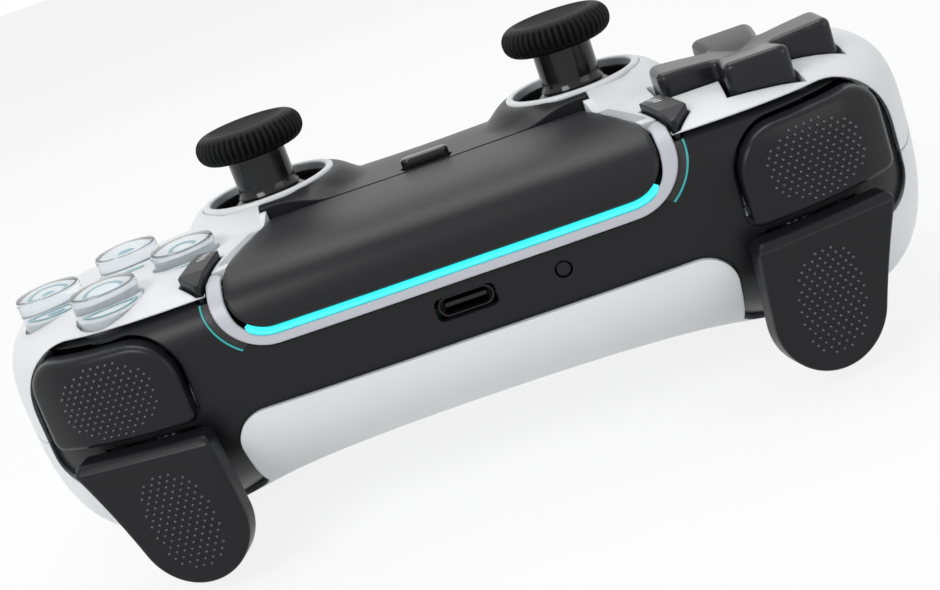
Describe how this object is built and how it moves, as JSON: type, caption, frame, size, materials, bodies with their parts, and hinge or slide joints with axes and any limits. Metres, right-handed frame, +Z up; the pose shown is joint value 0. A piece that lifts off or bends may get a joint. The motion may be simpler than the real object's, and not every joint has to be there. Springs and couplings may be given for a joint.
{
  "type": "gamepad controller",
  "caption": "Handheld gamepad with moulded two-tone shells, tilting thumbsticks, cross pad, clear face buttons, touchpad with lit edge, bumpers and sprung triggers.",
  "frame": {"origin": "on the table under the middle of the overall box, with the gamepad lying on its back", "axes": "+X to the player's right, +Y away from the player towards the shoulder buttons, +Z up out of the face"},
  "size_m": [0.16, 0.1063, 0.0626],
  "materials": {
    "white_plastic": "satin",
    "black_plastic": "satin",
    "pale_trim": "satin",
    "light_guide": "lit",
    "clear_plastic": "polished",
    "black_rubber": "matte",
    "circuit_board": "satin",
    "battery_wrap": "satin",
    "steel": "brushed"
  },
  "bodies": {
    "body": {"front_shell": "white_plastic", "rear_shell": "white_plastic", "shoulder_band": "black_plastic", "center_bezel": "black_plastic", "stick_rings": "white_plastic", "touchpad_trim": "pale_trim", "light_strip": "light_guide", "stick_housing_left": "steel", "stick_housing_right": "steel", "stick_sensors": "black_plastic", "shoulder_bracket_left": "steel", "shoulder_bracket_right": "steel", "pivot_pins": "steel", "trigger_springs": "steel", "main_board": "circuit_board", "key_boards": "circuit_board", "dpad_membrane": "black_rubber", "button_membrane": "black_rubber", "battery": "battery_wrap", "battery_tray": "black_plastic", "rumble_motor_left": "steel", "rumble_motor_right": "steel", "usb_port": "steel", "audio_jack": "black_plastic", "case_screws": "steel"},
    "touchpad": {"touchpad": "black_plastic"},
    "home_button": {"home_button": "black_plastic"},
    "side_button_left": {"side_button_left": "black_plastic"},
    "side_button_right": {"side_button_right": "black_plastic"},
    "reset_button": {"reset_button": "black_plastic"},
    "button_north": {"button_north": "clear_plastic"},
    "button_east": {"button_east": "clear_plastic"},
    "button_south": {"button_south": "clear_plastic"},
    "button_west": {"button_west": "clear_plastic"},
    "dpad_ball": {"dpad_pivot_ball": "steel"},
    "dpad": {"dpad": "black_plastic"},
    "bumper_left": {"bumper_left": "black_plastic", "bumper_lever_left": "black_plastic"},
    "trigger_left": {"trigger_left": "black_plastic", "trigger_lever_left": "black_plastic"},
    "stick_yoke_left": {"stick_yoke_left": "black_plastic"},
    "stick_pin_left": {"stick_pin_left": "steel"},
    "stick_left": {"stick_stem_left": "black_plastic", "stick_cap_left": "black_rubber"},
    "stick_bail_left": {"stick_bail_left": "steel"},
    "rumble_weight_left": {"rumble_weight_left": "steel"},
    "bumper_right": {"bumper_right": "black_plastic", "bumper_lever_right": "black_plastic"},
    "trigger_right": {"trigger_right": "black_plastic", "trigger_lever_right": "black_plastic"},
    "stick_yoke_right": {"stick_yoke_right": "black_plastic"},
    "stick_pin_right": {"stick_pin_right": "steel"},
    "stick_right": {"stick_stem_right": "black_plastic", "stick_cap_right": "black_rubber"},
    "stick_bail_right": {"stick_bail_right": "steel"},
    "rumble_weight_right": {"rumble_weight_right": "steel"}
  },
  "joints": [
    {"name": "touchpad_click", "type": "hinge", "parent": "body", "child": "touchpad", "pos_m": [0, 0.0185, 0.046], "axis": [-1, 0, 0], "range_deg": [0, 0.6], "stiffness_Nm_per_rad": 10, "springref_deg": -1.15},
    {"name": "home_button_press", "type": "slide", "parent": "body", "child": "home_button", "axis": [0, 0, -1], "range_m": [0, 0.0008], "stiffness_N_per_m": 400, "springref_m": -0.001},
    {"name": "side_button_left_press", "type": "slide", "parent": "body", "child": "side_button_left", "axis": [0, 0, -1], "range_m": [0, 0.001], "stiffness_N_per_m": 400, "springref_m": -0.001},
    {"name": "side_button_right_press", "type": "slide", "parent": "body", "child": "side_button_right", "axis": [0, 0, -1], "range_m": [0, 0.001], "stiffness_N_per_m": 400, "springref_m": -0.001},
    {"name": "reset_button_press", "type": "slide", "parent": "body", "child": "reset_button", "axis": [0, -1, 0], "range_m": [0, 0.0006], "stiffness_N_per_m": 400, "springref_m": -0.001},
    {"name": "button_north_press", "type": "slide", "parent": "body", "child": "button_north", "axis": [0, 0, -1], "range_m": [0, 0.0015], "stiffness_N_per_m": 300, "springref_m": -0.001, "deforming": ["button_membrane"]},
    {"name": "button_east_press", "type": "slide", "parent": "body", "child": "button_east", "axis": [0, 0, -1], "range_m": [0, 0.0015], "stiffness_N_per_m": 300, "springref_m": -0.001},
    {"name": "button_south_press", "type": "slide", "parent": "body", "child": "button_south", "axis": [0, 0, -1], "range_m": [0, 0.0015], "stiffness_N_per_m": 300, "springref_m": -0.001},
    {"name": "button_west_press", "type": "slide", "parent": "body", "child": "button_west", "axis": [0, 0, -1], "range_m": [0, 0.0015], "stiffness_N_per_m": 300, "springref_m": -0.001},
    {"name": "dpad_rock_up_down", "type": "hinge", "parent": "body", "child": "dpad_ball", "pos_m": [-0.054, 0.0245, 0.0412], "axis": [1, 0, 0], "range_deg": [-4, 4], "stiffness_Nm_per_rad": 0.3, "deforming": ["dpad_membrane"]},
    {"name": "dpad_rock_left_right", "type": "hinge", "parent": "dpad_ball", "child": "dpad", "pos_m": [-0.054, 0.0245, 0.0412], "axis": [0, 1, 0], "range_deg": [-4, 4], "stiffness_Nm_per_rad": 0.3},
    {"name": "bumper_left_press", "type": "hinge", "parent": "body", "child": "bumper_left", "pos_m": [-0.043, 0.0418, 0.036], "axis": [0, 0, 1], "range_deg": [0, 2.5], "stiffness_Nm_per_rad": 1, "springref_deg": -2.86},
    {"name": "trigger_left_pull", "type": "hinge", "parent": "body", "child": "trigger_left", "pos_m": [-0.053, 0.042, 0.0242], "axis": [-1, 0, 0], "range_deg": [0, 16], "stiffness_Nm_per_rad": 0.15, "springref_deg": -17.19},
    {"name": "stick_left_tilt_x", "type": "hinge", "parent": "body", "child": "stick_yoke_left", "pos_m": [-0.0282, 0.004, 0.04], "axis": [1, 0, 0], "range_deg": [-17, 17], "stiffness_Nm_per_rad": 0.06},
    {"name": "stick_left_click", "type": "slide", "parent": "stick_yoke_left", "child": "stick_pin_left", "axis": [0, 0, -1], "range_m": [0, 0.0005], "stiffness_N_per_m": 2000, "springref_m": -0.0006},
    {"name": "stick_left_tilt_y", "type": "hinge", "parent": "stick_pin_left", "child": "stick_left", "pos_m": [-0.0282, 0.004, 0.04], "axis": [0, 1, 0], "range_deg": [-17, 17], "stiffness_Nm_per_rad": 0.06},
    {"name": "stick_left_bail_turn", "type": "hinge", "parent": "body", "child": "stick_bail_left", "pos_m": [-0.0282, 0.004, 0.04], "axis": [0, 1, 0], "range_deg": [-17, 17]},
    {"name": "rumble_left_spin", "type": "hinge", "parent": "body", "child": "rumble_weight_left", "pos_m": [-0.0605, -0.0085, 0.0165], "axis": [0, 1, 0], "continuous": true},
    {"name": "bumper_right_press", "type": "hinge", "parent": "body", "child": "bumper_right", "pos_m": [0.043, 0.0418, 0.036], "axis": [0, 0, -1], "range_deg": [0, 2.5], "stiffness_Nm_per_rad": 1, "springref_deg": -2.86},
    {"name": "trigger_right_pull", "type": "hinge", "parent": "body", "child": "trigger_right", "pos_m": [0.053, 0.042, 0.0242], "axis": [-1, 0, 0], "range_deg": [0, 16], "stiffness_Nm_per_rad": 0.15, "springref_deg": -17.19},
    {"name": "stick_right_tilt_x", "type": "hinge", "parent": "body", "child": "stick_yoke_right", "pos_m": [0.0282, 0.004, 0.04], "axis": [1, 0, 0], "range_deg": [-17, 17], "stiffness_Nm_per_rad": 0.06},
    {"name": "stick_right_click", "type": "slide", "parent": "stick_yoke_right", "child": "stick_pin_right", "axis": [0, 0, -1], "range_m": [0, 0.0005], "stiffness_N_per_m": 2000, "springref_m": -0.0006},
    {"name": "stick_right_tilt_y", "type": "hinge", "parent": "stick_pin_right", "child": "stick_right", "pos_m": [0.0282, 0.004, 0.04], "axis": [0, 1, 0], "range_deg": [-17, 17], "stiffness_Nm_per_rad": 0.06},
    {"name": "stick_right_bail_turn", "type": "hinge", "parent": "body", "child": "stick_bail_right", "pos_m": [0.0282, 0.004, 0.04], "axis": [0, 1, 0], "range_deg": [-17, 17]},
    {"name": "rumble_right_spin", "type": "hinge", "parent": "body", "child": "rumble_weight_right", "pos_m": [0.0605, -0.0085, 0.0165], "axis": [0, 1, 0], "continuous": true}
  ],
  "couplings": [
    {"joint": "stick_left_bail_turn", "follows": "stick_left_tilt_y", "ratio": 1},
    {"joint": "stick_right_bail_turn", "follows": "stick_right_tilt_y", "ratio": 1}
  ]
}
